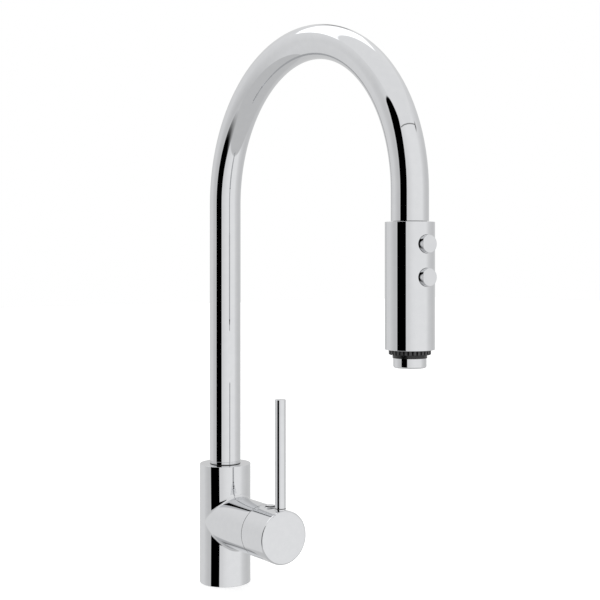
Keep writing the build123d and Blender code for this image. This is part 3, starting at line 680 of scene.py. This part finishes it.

# %% [markdown]
# # The hose that comes out
# When the spray head is pulled, a hose braided from black nylon yarn comes out after it.
# The CAD model has a short tube there as a stand-in. Here it is a tube of its own, just
# as long, with many rings along it, and the stand-in is hidden. Its outline is turned
# round the axis, as a lathe does, by a helper that the next pieces use too.

# %% Drawn hose
HOSE_SIDES = 64
HOSE_RINGS = 48
BORE_SHARE = 0.7

draw_low, draw_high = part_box("hose_draw")
hose_radius = (draw_high[0] - draw_low[0]) / 2
hose_y = (draw_low[1] + draw_high[1]) / 2


def turn_profile(shape, profile, centre, sides):
    """Turn a closed outline of (radius, height) points round an upright axis."""
    x, y = centre
    angles = [2 * math.pi * n / sides for n in range(sides)]
    rings = [[shape.verts.new((x + radius * math.cos(a), y + radius * math.sin(a), height))
              for a in angles] for radius, height in profile]
    for lower, upper in zip(rings, rings[1:] + rings[:1]):
        for n in range(sides):
            m = (n + 1) % sides
            shape.faces.new((lower[n], lower[m], upper[m], upper[n])).smooth = True


def hose_wall(shape):
    length = draw_high[2] - draw_low[2]
    heights = [draw_low[2] + length * n / HOSE_RINGS for n in range(HOSE_RINGS + 1)]
    outside = [(hose_radius, h) for h in heights]
    bore = [(hose_radius * BORE_SHARE, h) for h in reversed(heights)]
    turn_profile(shape, outside + bore, (0, hose_y), HOSE_SIDES)


drawn_hose = new_mesh_object("drawn_hose", hose_wall)
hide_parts("hose_draw")
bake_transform(drawn_hose)
print("hose faces:", len(drawn_hose.data.polygons))

# %% [markdown]
# # The braid on the hose
# Two sets of yarn wind round the hose, one rising to the right and one to the left,
# and go over and under each other. The weave could be modelled thread by thread, but
# it would stretch with the tube. As a pattern in metres it keeps its size however far
# the hose comes out. Each set is a sine wave along the hose and round it, and the sign
# of their product says which set lies on top.

# %% Braid
STRANDS = 24
WEAVE_RISE = 0.0032
CROSSING = 0.15
YARN_DEEP = (0.012, 0.012, 0.013, 1.0)
YARN_PALE = (0.060, 0.060, 0.063, 1.0)

tree, place = start_finish("braided_nylon")
across, outward, height = tree.axes(place)
round_hose = across.maths("ARCTAN2", across, outward - hose_y) * STRANDS / 2
up_hose = height * (2 * math.pi / WEAVE_RISE)
waves = (round_hose + up_hose, round_hose - up_hose)
rising, falling = [wave.maths("SINE", wave) for wave in waves]
rising_on_top = tree.step(rising * falling, -CROSSING, CROSSING)
crown = (1 - rising * rising) * rising_on_top + (1 - falling * falling) * (1 - rising_on_top)
yarn = noise(tree, place, size=0.00025)
relief = crown + yarn * 0.3
# The colour follows the relief: the crowns of the yarn get a painted highlight and the gaps between
# them painted shade.
put_together(tree, {"Base Color": tree.blend(relief, YARN_DEEP, YARN_PALE),
                    "Roughness": 0.42 + yarn * 0.25, "Sheen Weight": 0.15},
             bump=relief, depth=0.0003)
drawn_hose.data.materials.append(materials["braided_nylon"])
print("strands:", STRANDS, "each rising in mm:", WEAVE_RISE * 1000)

# %% [markdown]
# # The aerator's honeycomb
# An aerator mixes air into the water through a honeycomb of small cells. The CAD model
# has plain round holes there. Seen from below the cells catch the light as a fine grid,
# so they are built here: each six sided cell is drawn as a frame of six flat pieces,
# the frames are welded to each other, and the sheet is pulled up into a thick plate.

# %% Honeycomb
CELL_PITCH = 0.00205
CELL_WALL = 0.00038
CELL_DEPTH = 0.005
CELL_RECESS = 0.0005

insert_low, insert_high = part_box("aerator_insert")
insert_radius = (insert_high[0] - insert_low[0]) / 2
cell_foot = insert_low[2] + CELL_RECESS
cell_top = cell_foot + CELL_DEPTH


def six_corners(shape, x, y, size):
    angles = [math.radians(30 + 60 * n) for n in range(6)]
    return [shape.verts.new((x + size * math.cos(a), y + size * math.sin(a), cell_foot))
            for a in angles]


def cell_frame(shape, x, y, outer, inner):
    frame_edge = six_corners(shape, x, y, outer)
    hole_edge = six_corners(shape, x, y, inner)
    for n in range(6):
        m = (n + 1) % 6
        shape.faces.new((frame_edge[n], hole_edge[n], hole_edge[m], frame_edge[m]))


def honeycomb(shape):
    outer = CELL_PITCH / math.sqrt(3)
    inner = outer - CELL_WALL / math.sqrt(3)
    reach = int(insert_radius / CELL_PITCH) + 3
    for row in range(-reach, reach + 1):
        for column in range(-reach, reach + 1):
            x = (column + row / 2) * CELL_PITCH
            y = row * CELL_PITCH * math.sqrt(3) / 2
            if math.hypot(x, y) <= insert_radius - outer:
                cell_frame(shape, x, hose_y + y, outer, inner)
    bmesh.ops.remove_doubles(shape, verts=shape.verts, dist=CELL_WALL / 20)
    pulled = bmesh.ops.extrude_face_region(shape, geom=list(shape.faces))["geom"]
    raised = [v for v in pulled if isinstance(v, bmesh.types.BMVert)]
    bmesh.ops.translate(shape, verts=raised, vec=(0, 0, CELL_DEPTH))
    bmesh.ops.recalc_face_normals(shape, faces=shape.faces)


aerator_cells = new_mesh_object("aerator_cells", honeycomb)
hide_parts("aerator_insert")
print("honeycomb faces:", len(aerator_cells.data.polygons))

# %% [markdown]
# # The aerator's rim
# Whole cells leave a ragged edge. On the real insert a round rim with a rolled lip
# takes them in. It is turned from one outline round the same axis. Both pieces are
# acetal and go with the spray head.

# %% Aerator rim
RIM_WIDTH = 0.0017
RIM_ROUND = 0.0003
RIM_SIDES = 96


def cell_rim(shape):
    foot = insert_low[2]
    inner = insert_radius - RIM_WIDTH
    profile = [(insert_radius, foot + RIM_ROUND), (insert_radius - RIM_ROUND, foot),
               (inner + 2 * RIM_ROUND, foot), (inner + RIM_ROUND / 2, foot + RIM_ROUND / 2),
               (inner, foot + 2 * RIM_ROUND), (inner, cell_top), (insert_radius, cell_top)]
    turn_profile(shape, profile, (0, hose_y), RIM_SIDES)
    bmesh.ops.recalc_face_normals(shape, faces=shape.faces)


aerator_rim = new_mesh_object("aerator_rim", cell_rim)
for piece in (aerator_cells, aerator_rim):
    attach(piece, "spray_head")
    piece.data.materials.append(materials["white_plastic"])
print("rim faces:", len(aerator_rim.data.polygons))

# %% [markdown]
# # Spray nubs
# Each jet of the spray leaves through a soft rubber nub with a small hole, so that lime
# can be rubbed off with a thumb. They are too small for the CAD model. One outline is
# turned for each of them, in a circle under the spray ring.

# %% Spray nubs
NUB_COUNT = 30
NUB_RADIUS = 0.00055
NUB_DROP = 0.0005
NUB_HOLE = 0.00022
NUB_SIDES = 16

collar_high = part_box("aerator_collar")[1]
nub_circle = (ring_high[0] + collar_high[0]) / 2


def nubs(shape):
    root = ring_low[2] + NUB_DROP / 5
    foot = ring_low[2] - NUB_DROP
    profile = [(NUB_RADIUS, root), (NUB_RADIUS, ring_low[2] - NUB_DROP / 2),
               (NUB_RADIUS * 0.75, foot + NUB_DROP / 8), (NUB_RADIUS * 0.5, foot),
               (NUB_HOLE, foot), (NUB_HOLE * 0.9, root)]
    for n in range(NUB_COUNT):
        a = 2 * math.pi * (n + 0.5) / NUB_COUNT
        centre = (nub_circle * math.cos(a), hose_y + nub_circle * math.sin(a))
        turn_profile(shape, profile, centre, NUB_SIDES)
    bmesh.ops.recalc_face_normals(shape, faces=shape.faces)


spray_nubs = new_mesh_object("spray_nubs", nubs)
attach(spray_nubs, "spray_head")
spray_nubs.data.materials.append(materials["black_rubber"])
print("nubs:", NUB_COUNT, "on a circle of mm", round(nub_circle * 2000, 1))

# %% [markdown]
# # Dress the parts
# Every part of the model names the finish that it is made in, so one short loop
# dresses them all. Only the dome ring under the cap gets a chrome of its own, the one
# with painted shade on its rim. The parts are smooth already: their surface directions
# come from the exact CAD faces, which is what a mirror finish needs.

# %% Dress the parts
for subpart in frame["record"]["subparts"]:
    part = nodes[subpart["node"]]
    own_finish = "dome_chrome" if subpart["node"] == "dome_ring" else subpart["material_slot"]
    part.data.materials.clear()
    part.data.materials.append(materials[own_finish])
